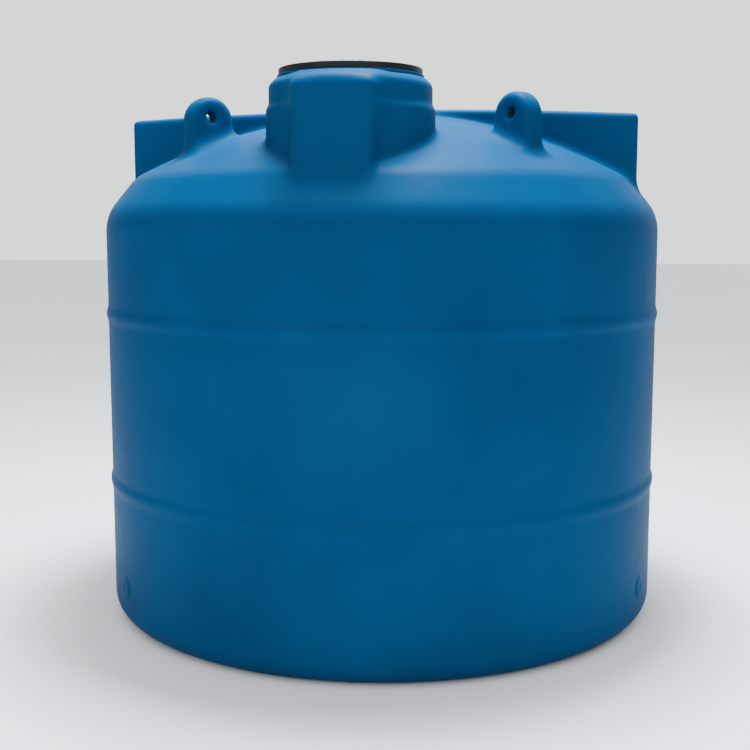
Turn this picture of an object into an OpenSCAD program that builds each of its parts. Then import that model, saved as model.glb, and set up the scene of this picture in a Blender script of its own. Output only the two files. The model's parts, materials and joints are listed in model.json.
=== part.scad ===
// Livestock water tank: a moulded upright tank with a screw lid, a float valve that
// keeps it full, an overflow and a drinking-line outlet with a ball valve.
// Millimetres, +Z up, origin at the middle of the base. The fill opening is at -Y,
// and all pipe fittings are at +Y.

/* [Tank body] */
// Outer radius of the straight wall
tank_r = 775; // [760:1:790]
// Thickness of the moulded wall
wall_t = 8; // [6:0.5:9]
// Height at which the straight wall ends
wall_top = 1066; // [1060:1:1075]
// Radius of the corner around the base
foot_r = 60; // [50:1:70]
// Heights of the two stiffening ribs
rib_z = [381, 843];
// Half of a rib's height
rib_half = 20; // [14:1:26]
// How far a rib stands out of the wall
rib_out = 5; // [3:0.5:8]

/* [Dome] */
// Radius that turns the wall into the sloping shoulder
shoulder_r = 124; // [110:1:130]
// Angle that the shoulder turns through
shoulder_a = 39; // [36:1:42]
// Radius that blends the shoulder into the dome
blend_r = 100; // [80:1:120]
// Radius of the dome
dome_r = 1450; // [1420:5:1480]
// Height of the dome's middle
apex_z = 1388; // [1384:1:1392]

/* [Ridge] */
// Length of the hollow ridge that crosses the dome
ridge_len = 1424; // [1400:2:1430]
// Thickness of the ridge
ridge_w = 190; // [160:2:200]
// Height of the ridge's two ends
ridge_end_z = 1381; // [1375:1:1385]
// How much higher the ridge is in its middle
ridge_crown = 20; // [10:1:24]
// Radius of the ridge's upper corners
ridge_corner_r = 14; // [10:1:20]

/* [Neck] */
// Distance of the neck's axis from the tank's axis
neck_y = 452; // [445:1:460]
// Outer radius of the neck
neck_r = 203; // [200:1:206]
// Extra radius of the neck's lower part
neck_step = 7; // [3:1:8]
// Height of the sloping step on the neck
neck_step_z = 1372; // [1365:1:1390]
// Height at which the neck starts to close in
neck_shoulder_z = 1424; // [1420:1:1428]
// Height of the neck's rim
neck_top_z = 1441; // [1438:1:1444]
// Distance of the flat front pad from the tank's axis
pad_y = 701; // [690:1:715]
// Distance of the front pad's top edge in front of the axis
pad_top_y = 674; // [668:1:700]
// Height at which the front pad's upright toe ends
pad_toe_z = 1190; // [1180:5:1250]
// Width of the flat front pad
pad_w = 196; // [170:2:200]

/* [Lifting lugs and blank bosses] */
// Angles of the lifting lugs, from the front
lug_azimuths = [-50.3, 50.3, 129.7, 230.3];
// Distance of a lug's middle from the tank's axis
lug_at = 528; // [520:1:535]
// Width of a lug
lug_w = 124; // [110:2:130]
// Thickness of a lug
lug_t = 64; // [40:2:66]
// Height of a lug's top
lug_top_z = 1417; // [1405:1:1420]
// Radius of the lifting eye
lug_eye_r = 14; // [12:1:20]
// Depth of the eye's centre below the top of a lug
lug_eye_drop = 53; // [45:1:60]
// Angles of the blank bosses for further outlets, from the front
blank_azimuths = [-52, 73, 128, 253];
// Radius of a blank boss
blank_r = 26; // [20:1:30]
// Height of a blank boss's middle
blank_z = 120; // [110:1:130]

/* [Lid] */
// Outer radius of the lid
lid_r = 178.5; // [176:0.5:180]
// Height of the lid's middle
lid_top_z = 1478; // [1474:1:1484]
// Outer radius of the lid's threaded skirt
skirt_r = 152; // [151:0.1:152.2]
// Rise of the thread in one turn
thread_pitch = 12; // [11:0.5:13]
// Number of turns of thread
thread_turns = 1.25; // [1:0.25:1.5]

/* [Inlet and float valve] */
// Height of the inlet
inlet_z = 985; // [980:1:1000]
// Radius of the inlet's threaded tube
inlet_r = 13; // [12.5:0.1:13.5]
// Distance from the lever's pin to the middle of the float
float_reach = 330; // [300:5:340]
// Radius of the float
float_r = 75; // [65:1:75]
// Droop of the lever when the float hangs
float_droop = 30; // [25:1:32]

/* [Overflow] */
// Height of the overflow
overflow_z = 1012; // [1000:1:1015]
// Angle of the overflow from the rear
overflow_azimuth = 22; // [18:1:30]

/* [Outlet] */
// Height of the outlet
outlet_z = 115; // [110:1:125]
// Radius of the outlet valve's passage
outlet_bore_r = 20; // [16:1:21]
// Length of the valve's lever
lever_len = 150; // [120:5:170]

/* [Hidden] */
$fn = 96;
gap = 0.3;
run = 0.05;
eps = 1;

// Shoulder and dome, solved so that every arc meets the next one smoothly
dome_c_z = apex_z - dome_r;
shoulder_c = [tank_r - shoulder_r, wall_top];
slope_dir = [-sin(shoulder_a), cos(shoulder_a)];
slope_out = [cos(shoulder_a), sin(shoulder_a)];
slope_from = shoulder_c + (shoulder_r - blend_r) * slope_out - [0, dome_c_z];
slope_b = slope_from * slope_dir;
slope_c = slope_from * slope_from - pow(dome_r - blend_r, 2);
slope_len = sqrt(pow(slope_b, 2) - slope_c) - slope_b;
blend_c = slope_from + slope_len * slope_dir + [0, dome_c_z];
dome_a = atan2(blend_c[1] - dome_c_z, blend_c[0]);
rib_r = (pow(rib_half, 2) + pow(rib_out, 2)) / (2 * rib_out);

// Flat cuts that share the moulding out between its nodes
floor_cut_z = wall_t + 4;
wall_cut_z = (rib_z[0] + rib_z[1]) / 2;
shoulder_cut_z = wall_top + 14;
dome_cut_z = wall_top + 171;
layer_half = tank_r + 25;
space_h = 400;
seam = 2;

// Places inside the shell where the hollow upper features start
ridge_foot_z = 1120;
neck_foot_z = 1150;
neck_rim_r = 186;
pad_drop = 2;

// Flat bosses for the fittings, as [radius, angle from the rear, height]
boss_face = tank_r + 7;
boss_root = tank_r - 95;
bosses = [[70, 0, outlet_z], [50, 0, inlet_z], [54, overflow_azimuth, overflow_z]];
inner_face = boss_face - wall_t;

// Lid and neck ring
ring_top_z = neck_top_z + 8;
ring_bottom_z = neck_top_z - 56;
ring_out_r = 182;
ring_sleeve_r = 169;
ring_bore_r = 158;
mouth_r = ring_sleeve_r + gap;
seat_z = ring_top_z + 6;
skirt_t = 8;
skirt_bottom_z = neck_top_z - 43;
crown_edge_r = 3;
crown_r = lid_r - crown_edge_r;
crown_edge_a = acos((lid_r - crown_r) / crown_edge_r);
crown_drop = 13;
lid_under_z = lid_top_z - 12;
female_z = neck_top_z - 31;
male_z = female_z - 5.5;
thread_base = 3;
thread_tip = 1.2;
thread_steps = 48;
lid_grips = 8;
grip_in = 95;
grip_len = 40;
vent_recess_r = 40;
vent_floor_z = lid_top_z - 16;
vent_hole_r = 13;

// Float valve
valve_back_y = inner_face - 19;
seat_y = valve_back_y - 22;
piston_r = 9;
nose_len = 16;
nose_r = 3.5;
nose_lean = float_droop / 2;
pin_r = 3;
pin_y = seat_y - 57;
pin_z = inlet_z - nose_len;
nose_shift = nose_len * sin(nose_lean);
piston_face_y = seat_y - 19;
piston_end_y = pin_y - 14;
rod_r = 4;
cheek_in = 10;
cheek_out = 16;

// Overflow
overflow_r = 25;
elbow_r = 30;
elbow_bend = 38;
elbow_start_y = boss_face + 15;
elbow_bend_y = elbow_start_y + 22;
elbow_leg = 66;

// Outlet valve
outlet_tube_r = 30;
valve_y = boss_face + 80;
valve_near_y = boss_face + 18;
valve_far_y = valve_y + 43;
cavity_r = 33.5;
cavity_near_y = valve_y - 34;
seat_len = 14;
ball_r = 32;
body_r = 44;
stem_r = 8;
gland_r = 16;
gland_top_z = outlet_z + 62;
lever_z = gland_top_z + 2;
lever_t = 7;
lever_w = 24;
square_w = 10;
stud_r = 4;

// ---- Helpers ----

// Points along an arc in the plane, from angle a0 to a1
function arc(c, r, a0, a1, n) =
    [for (i = [0:n]) c + r * [cos(a0 + (a1 - a0) * i / n), sin(a0 + (a1 - a0) * i / n)]];

// Puts children, made around +Y, at an angle from the front of the tank
module around_front(azimuth) {
    rotate([0, 0, 180 + azimuth]) children();
}

// A cylinder along +Y from y0 to y1 at height z
module rod_y(r, y0, y1, z, sides = 96) {
    translate([0, y0, z]) rotate([-90, 0, 0]) cylinder(r = r, h = y1 - y0, $fn = sides);
}

// A tube along +Y
module tube_y(r_out, r_in, y0, y1, z) {
    difference() {
        rod_y(r_out, y0, y1, z);
        rod_y(r_in, y0 - eps, y1 + eps, z);
    }
}

// A hexagonal nut along +Y with a plain hole
module nut_y(r_out, r_in, y0, y1, z) {
    difference() {
        rod_y(r_out, y0, y1, z, 6);
        rod_y(r_in, y0 - eps, y1 + eps, z);
    }
}

// A ridge of constant section that climbs around the Z axis
module helix_ridge(section) {
    n = len(section);
    rings = floor(thread_turns * thread_steps);
    points = [for (i = [0:rings], p = section)
        let (a = 360 * i / thread_steps)
        [p[0] * cos(a), p[0] * sin(a), p[1] + thread_pitch * i / thread_steps]];
    sides = [for (i = [0:rings - 1], k = [0:n - 1], half = [0, 1])
        let (a = i * n + k, b = i * n + (k + 1) % n)
        half == 0 ? [a, b + n, a + n] : [a, b, b + n]];
    first = [for (k = [n - 1:-1:0]) k];
    last = [for (k = [0:n - 1]) rings * n + k];
    polyhedron(points, concat([first], sides, [last]));
}

// ---- Tank shell ----

// Half outline of the round body, drawn in by inset
module body_outline(inset) {
    polygon(concat(
        [[0, inset]],
        arc([tank_r - foot_r, foot_r], foot_r - inset, -90, 0, 8),
        arc(shoulder_c, shoulder_r - inset, 0, shoulder_a, 6),
        arc(blend_c, blend_r - inset, shoulder_a, dome_a, 4),
        arc([0, dome_c_z], dome_r - inset, dome_a, 90, 14)));
    for (z = rib_z) {
        translate([tank_r + rib_out - rib_r, z]) circle(r = rib_r - inset);
    }
}

// Side outline of the ridge
module ridge_outline(inset) {
    half = ridge_len / 2;
    corner = half - ridge_corner_r;
    polygon(concat(
        [[-half + inset, ridge_foot_z], [half - inset, ridge_foot_z]],
        arc([corner, ridge_end_z - ridge_corner_r], ridge_corner_r - inset, 0, 90, 4),
        [for (s = [0.75:-0.25:-0.75])
            [s * half, ridge_end_z + ridge_crown * (1 - s * s) - inset]],
        arc([-corner, ridge_end_z - ridge_corner_r], ridge_corner_r - inset, 90, 180, 4)));
}

// Round neck, with its sloping step and its closed-in rim
module neck_solid(inset) {
    low_r = neck_r + neck_step - inset;
    high_r = neck_r - inset;
    translate([0, -neck_y, 0]) rotate_extrude() polygon([
        [0, neck_foot_z],
        [low_r, neck_foot_z],
        [low_r, neck_step_z - neck_step],
        [high_r, neck_step_z + neck_step],
        [high_r, neck_shoulder_z - inset / 2],
        [neck_rim_r - inset, neck_top_z - inset],
        [0, neck_top_z - inset]]);
}

// Front pad of the neck, upright at its toe and leaning back above it
module pad_solid(inset) {
    rotate([90, 0, 90]) linear_extrude(pad_w - 2 * inset, center = true) polygon([
        [-neck_y, neck_foot_z],
        [-neck_y, neck_shoulder_z - pad_drop - inset],
        [-pad_top_y + inset, neck_shoulder_z - pad_drop - inset],
        [-pad_y + inset, pad_toe_z],
        [-pad_y + inset, neck_foot_z]]);
}

// The moulding as a full solid whose surface is drawn in by inset
module tank_solid(inset) {
    rotate_extrude($fn = 180) body_outline(inset);
    rotate([90, 0, 0]) linear_extrude(ridge_w - 2 * inset, center = true) ridge_outline(inset);
    neck_solid(inset);
    pad_solid(inset);
    for (b = bosses) {
        rotate([0, 0, b[1]]) rod_y(b[0] - inset, boss_root, boss_face - inset, b[2]);
    }
}

// Low round boss with a dimple, where a further outlet can be drilled
module blank_boss() {
    difference() {
        rod_y(blank_r, tank_r - wall_t, tank_r + 3, blank_z);
        rod_y(blank_r - 15, tank_r - 1, tank_r + 4, blank_z);
    }
}

// The whole hollow moulding with its mouth and its fitting holes
module moulding() {
    difference() {
        union() {
            tank_solid(0);
            for (a = blank_azimuths) {
                around_front(a) blank_boss();
            }
        }
        tank_solid(wall_t);
        translate([0, -neck_y, neck_shoulder_z - wall_t])
            cylinder(r = mouth_r, h = 3 * wall_t + eps);
        rod_y(outlet_tube_r + gap, inner_face - eps, boss_face + eps, outlet_z);
        rod_y(inlet_r + gap, inner_face - eps, boss_face + eps, inlet_z);
        rotate([0, 0, overflow_azimuth])
            rod_y(overflow_r + gap, inner_face - eps, boss_face + eps, overflow_z);
    }
}

// A layer of space between two heights
module layer(z0, z1) {
    translate([-layer_half, -layer_half, z0]) cube([2 * layer_half, 2 * layer_half, z1 - z0]);
}

// The space that the ridge takes
module ridge_space() {
    translate([-ridge_len / 2 - seam, -ridge_w / 2 - seam, ridge_foot_z])
        cube([ridge_len + 2 * seam, ridge_w + 2 * seam, space_h]);
}

// The space that the neck and its front pad take
module neck_space() {
    side = neck_r + neck_step + seam;
    translate([-side, -pad_y - seam, neck_foot_z])
        cube([2 * side, pad_y + seam - neck_y + side, space_h]);
}

module tank_floor() {
    color("royalblue") intersection() {
        moulding();
        layer(-eps, floor_cut_z);
    }
}

module tank_wall_lower() {
    color("royalblue") intersection() {
        moulding();
        layer(floor_cut_z, wall_cut_z);
    }
}

module tank_wall_upper() {
    color("royalblue") intersection() {
        moulding();
        layer(wall_cut_z, shoulder_cut_z);
    }
}

module tank_shoulder() {
    color("royalblue") difference() {
        intersection() {
            moulding();
            layer(shoulder_cut_z, dome_cut_z);
        }
        ridge_space();
        neck_space();
    }
}

module tank_dome() {
    color("royalblue") difference() {
        intersection() {
            moulding();
            layer(dome_cut_z, dome_cut_z + space_h);
        }
        ridge_space();
        neck_space();
    }
}

module tank_ridge() {
    color("royalblue") intersection() {
        moulding();
        ridge_space();
    }
}

module tank_neck() {
    color("royalblue") intersection() {
        moulding();
        neck_space();
    }
}

// Upright plate with a round top and an eye
module lug_plate() {
    round_z = lug_top_z - lug_w / 2;
    translate([0, lug_at, 0]) rotate([90, 0, 90])
        linear_extrude(lug_t, center = true) difference() {
            union() {
                translate([0, round_z]) circle(r = lug_w / 2);
                translate([-lug_w / 2, neck_foot_z]) square([lug_w, round_z - neck_foot_z]);
            }
            translate([0, lug_top_z - lug_eye_drop]) circle(r = lug_eye_r);
        }
}

// Four lifting lugs that stand on the dome
module lifting_lugs() {
    color("royalblue") difference() {
        for (a = lug_azimuths) {
            around_front(a) lug_plate();
        }
        tank_solid(0);
    }
}

// ---- Neck ring and lid ----

// Threaded ring that closes the neck's rim
module neck_ring() {
    color("royalblue") translate([0, -neck_y, 0]) union() {
        rotate_extrude() polygon([
            [ring_bore_r, ring_bottom_z],
            [ring_sleeve_r, ring_bottom_z],
            [ring_sleeve_r, neck_top_z],
            [ring_out_r, neck_top_z],
            [ring_out_r, ring_top_z - 2],
            [ring_out_r - 2, ring_top_z],
            [ring_bore_r, ring_top_z]]);
        translate([0, 0, female_z]) helix_ridge([
            [ring_bore_r - 4.2, -thread_tip],
            [ring_bore_r + 1, -thread_base],
            [ring_bore_r + 1, thread_base],
            [ring_bore_r - 4.2, thread_tip]]);
    }
}

// Flat seal between the lid's flange and the ring
module lid_gasket() {
    color("dimgray") translate([0, -neck_y, ring_top_z + 0.2]) difference() {
        cylinder(r = 171, h = seat_z - ring_top_z - 0.4);
        translate([0, 0, -eps]) cylinder(r = 159, h = seat_z - ring_top_z + 2 * eps);
    }
}

// Crowned lid with a rounded edge, a recess for the vent and a turned-down rim
module manhole_lid() {
    dome_c = lid_top_z - (pow(crown_r, 2) + pow(crown_drop, 2)) / (2 * crown_drop);
    edge_c = [crown_r, lid_top_z - crown_drop - crown_edge_r];
    color("black") translate([0, -neck_y, 0]) difference() {
        union() {
            rotate_extrude() polygon(concat(
                [[0, lid_under_z], [skirt_r - skirt_t, lid_under_z],
                    [skirt_r - skirt_t, seat_z], [lid_r - 6, seat_z],
                    [lid_r - 6, ring_top_z + 1], [lid_r, ring_top_z + 1]],
                arc(edge_c, crown_edge_r, crown_edge_a, 90, 8),
                [for (s = [0.75:-0.25:0])
                    [s * crown_r, dome_c + sqrt(pow(lid_top_z - dome_c, 2)
                        - pow(s * crown_r, 2))]]));
            translate([0, 0, vent_floor_z - 4])
                cylinder(r = vent_recess_r + 4, h = lid_under_z - vent_floor_z + 5);
            for (i = [0:lid_grips - 1]) {
                rotate([0, 0, (i + 0.5) * 360 / lid_grips])
                    translate([grip_in, -5, lid_under_z]) cube([grip_len, 10, 8.5]);
            }
        }
        translate([0, 0, vent_floor_z]) cylinder(r = vent_recess_r, h = 30);
        translate([0, 0, vent_floor_z - 5]) cylinder(r = vent_hole_r, h = 10);
    }
}

// Threaded skirt, moulded in one with the lid
module lid_skirt() {
    color("black") translate([0, -neck_y, 0]) union() {
        rotate_extrude() polygon([
            [skirt_r - skirt_t, skirt_bottom_z],
            [skirt_r, skirt_bottom_z],
            [skirt_r, seat_z],
            [skirt_r - skirt_t, seat_z]]);
        translate([0, 0, male_z]) helix_ridge([
            [skirt_r - 1, -thread_base],
            [skirt_r + 4.5, -thread_tip],
            [skirt_r + 4.5, thread_tip],
            [skirt_r - 1, thread_base]]);
    }
}

// Flanged vent tube with four air windows
module vent_body() {
    tube_r = vent_hole_r - gap;
    color("black") translate([0, -neck_y, vent_floor_z]) difference() {
        union() {
            translate([0, 0, -12]) cylinder(r = tube_r, h = 21);
            cylinder(r = 20, h = 3);
        }
        translate([0, 0, -13]) cylinder(r = 9, h = 20);
        for (a = [0, 90]) {
            rotate([0, 0, a]) translate([-20, -3, 3.5]) cube([40, 6, 3]);
        }
        translate([0, 0, -9.6]) cylinder(r = 10.3, h = 2.2);
    }
}

// Insect screen held in the vent tube's groove
module vent_screen() {
    color("silver") translate([0, -neck_y, vent_floor_z - 9.3]) difference() {
        cylinder(r = 10, h = 1.4);
        for (x = [-6:3:6], y = [-6:3:6]) {
            translate([x, y, -eps]) cylinder(r = 1, h = 4, $fn = 16);
        }
    }
}

// Rain cap that drops over the vent tube
module vent_cap() {
    color("black") translate([0, -neck_y, vent_floor_z + 9.2]) difference() {
        union() {
            cylinder(r = 37, h = 4);
            translate([0, 0, 4]) cylinder(r1 = 37, r2 = 33, h = 2);
            translate([0, 0, -5]) cylinder(r = 16, h = 6);
        }
        translate([0, 0, -6]) cylinder(r = vent_hole_r, h = 6);
        for (a = [0, 90]) {
            rotate([0, 0, a]) translate([-20, -3, -6]) cube([40, 6, 4]);
        }
    }
}

// Nut that holds the vent from inside
module vent_nut() {
    color("black") translate([0, -neck_y, vent_floor_z - 11]) difference() {
        cylinder(r = 20, h = 6.8, $fn = 6);
        translate([0, 0, -eps]) cylinder(r = vent_hole_r, h = 10);
    }
}

// ---- Inlet and float valve ----

// Threaded tube through the wall, with a hexagonal flange outside
module inlet_bulkhead() {
    color("goldenrod") difference() {
        union() {
            rod_y(inlet_r, seat_y, boss_face + 56, inlet_z);
            rod_y(22, boss_face + 2.5, boss_face + 14, inlet_z, 6);
        }
        rod_y(8, seat_y - eps, boss_face + 57, inlet_z);
    }
}

module inlet_outer_gasket() {
    color("dimgray") tube_y(24, inlet_r + gap, boss_face, boss_face + 2.5, inlet_z);
}

module inlet_inner_gasket() {
    color("dimgray") tube_y(24, inlet_r + gap, inner_face - 2.5, inner_face, inlet_z);
}

module inlet_backnut() {
    color("goldenrod") nut_y(22, inlet_r + gap, inner_face - 14, inner_face - 2.5, inlet_z);
}

// Valve body: a socket for the inlet tube, the piston's bore and a fork for the lever
module float_valve_body() {
    color("goldenrod") difference() {
        union() {
            rod_y(18, seat_y - 37, valve_back_y, inlet_z);
            for (side = [-1, 1]) {
                translate([side * (cheek_in + cheek_out) / 2, (pin_y + seat_y) / 2 - 10, pin_z + 7])
                    cube([cheek_out - cheek_in, seat_y - pin_y, 26], center = true);
            }
        }
        rod_y(inlet_r + gap, seat_y, valve_back_y + eps, inlet_z);
        rod_y(12, seat_y - 6, seat_y + eps, inlet_z);
        rod_y(piston_r + run, seat_y - 38, seat_y - 5, inlet_z);
        translate([0, seat_y - 14, inlet_z - 30]) cylinder(r = 4, h = 30);
        translate([-cheek_out - eps, pin_y, pin_z]) rotate([0, 90, 0])
            cylinder(r = pin_r + 0.02, h = 2 * cheek_out + 2 * eps);
    }
}

// Nozzle that the piston's washer closes
module float_valve_seat() {
    color("ivory") difference() {
        union() {
            rod_y(11.9, seat_y - 5.9, seat_y - 0.1, inlet_z);
            rod_y(6, seat_y - 9, seat_y - 5, inlet_z);
        }
        rod_y(3.5, seat_y - 10, seat_y, inlet_z);
    }
}

// Piston with a notch for the lever's nose and a cup for its washer
module float_piston() {
    slot_y = pin_y - nose_shift;
    color("goldenrod") difference() {
        rod_y(piston_r, piston_end_y, piston_face_y, inlet_z);
        rod_y(7.2, piston_face_y - 3, piston_face_y + eps, inlet_z);
        translate([-4.2, slot_y - nose_r - 0.5, inlet_z - 10])
            cube([8.4, 2 * nose_r + 1, 14.5]);
        translate([-4.2, slot_y - 7, inlet_z - 10]) cube([8.4, 14, 6]);
    }
}

module piston_washer() {
    color("dimgray") rod_y(7, piston_face_y - 2.9, piston_face_y + 1.2, inlet_z);
}

module float_pin() {
    color("silver") translate([-cheek_out - 2, pin_y, pin_z]) rotate([0, 90, 0])
        cylinder(r = pin_r, h = 2 * cheek_out + 4);
}

// Lever, drawn hanging: a hub on the pin, a short nose and a long rod
module float_arm() {
    color("goldenrod") translate([0, pin_y, pin_z]) difference() {
        union() {
            rotate([0, 90, 0]) cylinder(r = 6, h = 2 * cheek_in - 2, center = true);
            rotate([nose_lean, 0, 0]) {
                translate([-3.5, -2.2, 0]) cube([7, 4.4, nose_len]);
                translate([-3.5, 0, nose_len]) rotate([0, 90, 0]) cylinder(r = nose_r, h = 7);
            }
            rotate([90 + float_droop, 0, 0])
                translate([0, 0, 4]) cylinder(r = rod_r, h = float_reach - float_r + 18);
        }
        rotate([0, 90, 0]) cylinder(r = pin_r + run, h = 2 * cheek_in + 2, center = true);
    }
}

// Puts children, made along +Z from the pin, along the hanging lever
module along_arm(distance) {
    translate([0, pin_y, pin_z]) rotate([90 + float_droop, 0, 0])
        translate([0, 0, distance]) children();
}

// Hollow float with a blind socket for the rod
module float_ball() {
    skin = 2;
    color("orange") along_arm(float_reach) difference() {
        union() {
            difference() {
                sphere(r = float_r);
                sphere(r = float_r - skin);
            }
            translate([0, 0, -float_r - 3]) cylinder(r = 9, h = 30);
        }
        translate([0, 0, -float_r - 4]) cylinder(r = rod_r + gap, h = 26.5);
    }
}

module float_ball_nut() {
    color("silver") along_arm(float_reach - float_r - 10) difference() {
        cylinder(r = 8, h = 6.5, $fn = 6);
        translate([0, 0, -eps]) cylinder(r = rod_r + gap, h = 9);
    }
}

// ---- Overflow ----

module overflow_bulkhead() {
    color("dimgray") rotate([0, 0, overflow_azimuth]) difference() {
        union() {
            rod_y(overflow_r, inner_face - 30, elbow_start_y + 20, overflow_z);
            rod_y(38, boss_face + 2, boss_face + 11, overflow_z);
        }
        rod_y(20, inner_face - 31, elbow_start_y + 21, overflow_z);
    }
}

module overflow_gasket() {
    color("dimgray") rotate([0, 0, overflow_azimuth])
        tube_y(37, overflow_r + gap, boss_face, boss_face + 2, overflow_z);
}

module overflow_backnut() {
    color("dimgray") rotate([0, 0, overflow_azimuth])
        nut_y(38, overflow_r + gap, inner_face - 13, inner_face, overflow_z);
}

// Bend that turns the overflow downwards
module overflow_elbow() {
    leg_y = elbow_bend_y + elbow_bend;
    color("dimgray") rotate([0, 0, overflow_azimuth]) difference() {
        union() {
            rod_y(elbow_r, elbow_start_y, elbow_bend_y, overflow_z);
            translate([0, elbow_bend_y, overflow_z - elbow_bend]) rotate([90, 0, 90])
                rotate_extrude(angle = 90) translate([elbow_bend, 0]) circle(r = elbow_r);
            translate([0, leg_y, overflow_z - elbow_bend - elbow_leg])
                cylinder(r = elbow_r, h = elbow_leg);
        }
        rod_y(overflow_r + gap, elbow_start_y - eps, elbow_bend_y, overflow_z);
        translate([0, elbow_bend_y - eps, overflow_z - elbow_bend]) rotate([90, 0, 90])
            rotate_extrude(angle = 90) translate([elbow_bend, 0]) circle(r = overflow_r - eps);
        translate([0, leg_y, overflow_z - elbow_bend - elbow_leg - eps])
            cylinder(r = overflow_r - eps, h = elbow_leg + 2 * eps);
        translate([0, leg_y, overflow_z - elbow_bend - elbow_leg - eps])
            cylinder(r = overflow_r + 1, h = 3 + eps);
    }
}

// Insect screen pressed into the elbow's lower end
module overflow_screen() {
    color("silver") rotate([0, 0, overflow_azimuth])
        translate([0, elbow_bend_y + elbow_bend, overflow_z - elbow_bend - elbow_leg + 0.5])
        difference() {
            cylinder(r = overflow_r + 0.9, h = 1.5);
            for (ring = [1:3], i = [0:6 * ring - 1]) {
                rotate([0, 0, i * 60 / ring]) translate([ring * 6.2, 0, -eps])
                    cylinder(r = 2, h = 4, $fn = 16);
            }
        }
}

// ---- Outlet and ball valve ----

module outlet_bulkhead() {
    color("dimgray") difference() {
        union() {
            rod_y(outlet_tube_r, inner_face - 34, valve_near_y + 22, outlet_z);
            rod_y(50, boss_face + 3, boss_face + 15, outlet_z);
        }
        rod_y(outlet_bore_r + 1, inner_face - 35, valve_near_y + 23, outlet_z);
    }
}

module outlet_outer_gasket() {
    color("dimgray") tube_y(48, outlet_tube_r + gap, boss_face, boss_face + 3, outlet_z);
}

module outlet_inner_gasket() {
    color("dimgray") tube_y(48, outlet_tube_r + gap, inner_face - 3, inner_face, outlet_z);
}

module outlet_backnut() {
    color("dimgray") nut_y(48, outlet_tube_r + gap, inner_face - 18, inner_face - 3, outlet_z);
}

// Valve body: socket, ball chamber open at the far end, and the stem's gland
module outlet_valve_body() {
    color("dimgray") difference() {
        union() {
            rod_y(body_r, valve_near_y, valve_far_y, outlet_z);
            translate([0, valve_y, outlet_z]) cylinder(r = gland_r, h = gland_top_z - outlet_z);
        }
        rod_y(outlet_tube_r + gap, valve_near_y - eps, valve_near_y + 22.5, outlet_z);
        rod_y(outlet_bore_r, valve_near_y, valve_y, outlet_z);
        rod_y(cavity_r, cavity_near_y, valve_far_y + eps, outlet_z);
        translate([0, valve_y, outlet_z]) cylinder(r = stem_r, h = gland_top_z);
        translate([0, valve_y, gland_top_z - 8]) cylinder(r = stem_r + 3, h = 9);
    }
}

// Screwed end piece with the hose thread's socket
module outlet_valve_end() {
    near_y = valve_y + 34;
    color("dimgray") difference() {
        union() {
            rod_y(cavity_r - gap, near_y, valve_far_y + eps, outlet_z);
            rod_y(body_r, valve_far_y + gap, valve_far_y + 20, outlet_z, 6);
        }
        rod_y(outlet_bore_r, near_y - eps, valve_far_y + 21, outlet_z);
        rod_y(outlet_bore_r + 3.9, valve_far_y, valve_far_y + 21, outlet_z);
    }
}

// The two soft rings that the ball turns between
module outlet_valve_seats() {
    color("ivory") difference() {
        union() {
            tube_y(cavity_r - gap, outlet_bore_r, cavity_near_y, cavity_near_y + seat_len, outlet_z);
            tube_y(cavity_r - gap, outlet_bore_r, valve_y + 34 - seat_len, valve_y + 34, outlet_z);
        }
        translate([0, valve_y, outlet_z]) sphere(r = ball_r + run);
    }
}

// Ball, drawn closed: its passage lies across the pipe
module outlet_valve_ball() {
    color("silver") translate([0, valve_y, outlet_z]) difference() {
        sphere(r = ball_r);
        translate([-ball_r, 0, 0]) rotate([0, 90, 0])
            cylinder(r = outlet_bore_r, h = 2 * ball_r);
        translate([-3.1, -12, ball_r - 6]) cube([6.2, 24, 8]);
    }
}

// Stem with a tang for the ball, a square for the lever and a stud for the nut
module outlet_valve_stem() {
    color("silver") translate([0, valve_y, 0]) union() {
        translate([-3, -6, outlet_z + ball_r - 5.8]) cube([6, 12, 8]);
        translate([0, 0, outlet_z + ball_r + 1])
            cylinder(r = stem_r - run, h = gland_top_z - outlet_z - ball_r);
        translate([-square_w / 2, -square_w / 2, gland_top_z])
            cube([square_w, square_w, lever_t + 2]);
        translate([0, 0, gland_top_z]) cylinder(r = stud_r, h = lever_t + 14);
    }
}

module stem_packing() {
    color("dimgray") translate([0, valve_y, gland_top_z - 7.8]) difference() {
        cylinder(r = stem_r + 2.9, h = 7.6);
        translate([0, 0, -eps]) cylinder(r = stem_r + run, h = 10);
    }
}

// Flat lever with a round hub and a round hand end
module outlet_valve_lever() {
    color("firebrick") translate([0, valve_y, lever_z]) difference() {
        union() {
            cylinder(r = 17, h = lever_t);
            translate([0, -lever_w / 2, 0]) cube([lever_len - lever_w / 2, lever_w, lever_t]);
            translate([lever_len - lever_w / 2, 0, 0]) cylinder(r = lever_w / 2, h = lever_t);
        }
        translate([-square_w / 2 - 0.1, -square_w / 2 - 0.1, -eps])
            cube([square_w + 0.2, square_w + 0.2, lever_t + 2 * eps]);
        translate([lever_len - lever_w / 2, 0, -eps]) cylinder(r = 4, h = lever_t + 2 * eps);
    }
}

module lever_nut() {
    color("silver") translate([0, valve_y, lever_z + lever_t]) difference() {
        cylinder(r = 8, h = 6.5, $fn = 6);
        translate([0, 0, -eps]) cylinder(r = stud_r + 0.1, h = 9);
    }
}

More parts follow.
